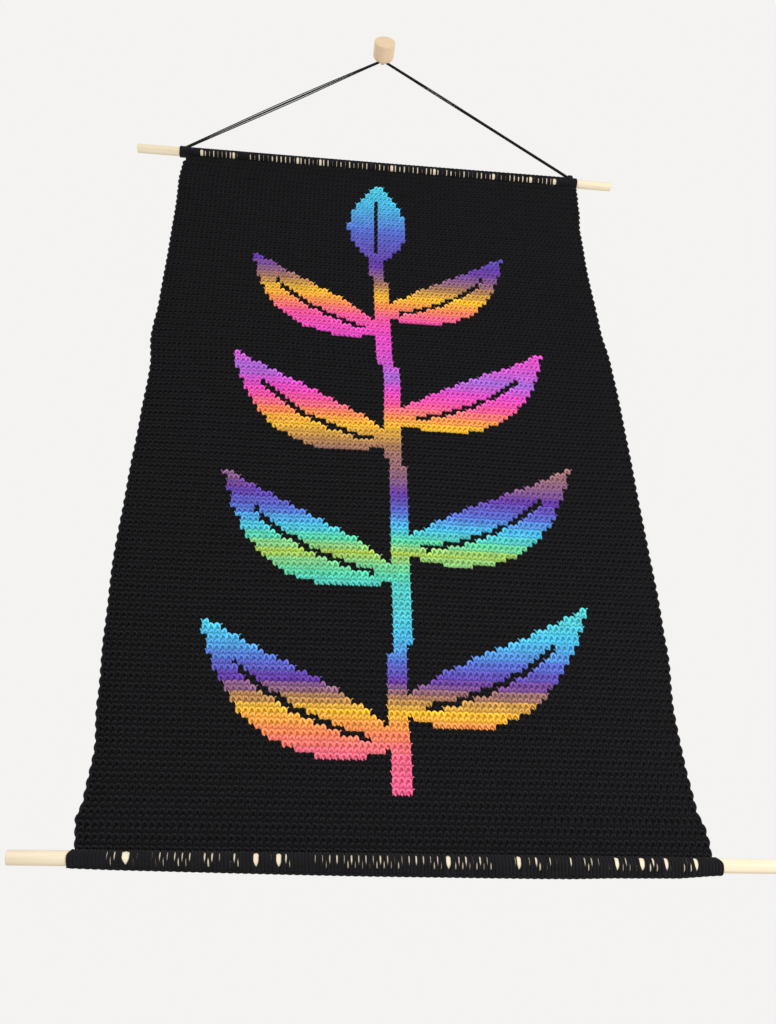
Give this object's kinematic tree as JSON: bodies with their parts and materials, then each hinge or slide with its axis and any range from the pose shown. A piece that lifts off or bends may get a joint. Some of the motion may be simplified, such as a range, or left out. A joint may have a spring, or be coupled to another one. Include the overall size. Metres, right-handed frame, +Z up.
{
  "type": "crochet wall hanging with dowels and wall peg",
  "caption": "Long crochet panel in rows of single crochet, worked round a wooden dowel at top and bottom, hung by a bundle of yarn over a turned wall peg.",
  "frame": {"origin": "middle of the wall peg's flat back end, on the wall", "axes": "+X to the right of someone who faces the wall, +Y into the wall, +Z up"},
  "size_m": [0.6045, 0.0332, 1.1447],
  "materials": {
    "black_yarn": "matt spun yarn, worked in single crochet, with self-striping yarn in the motif",
    "dowel_wood": "bare sanded pale dowel",
    "peg_wood": "turned and sanded pale wood"
  },
  "bodies": {
    "root": {"panel": "black_yarn", "rod_top": "dowel_wood", "rod_bottom": "dowel_wood", "tie_left": "black_yarn", "tie_right": "black_yarn", "cord_strand_1": "black_yarn", "cord_strand_2": "black_yarn", "cord_strand_3": "black_yarn", "cord_strand_4": "black_yarn", "peg": "peg_wood"}
  },
  "joints": []
}
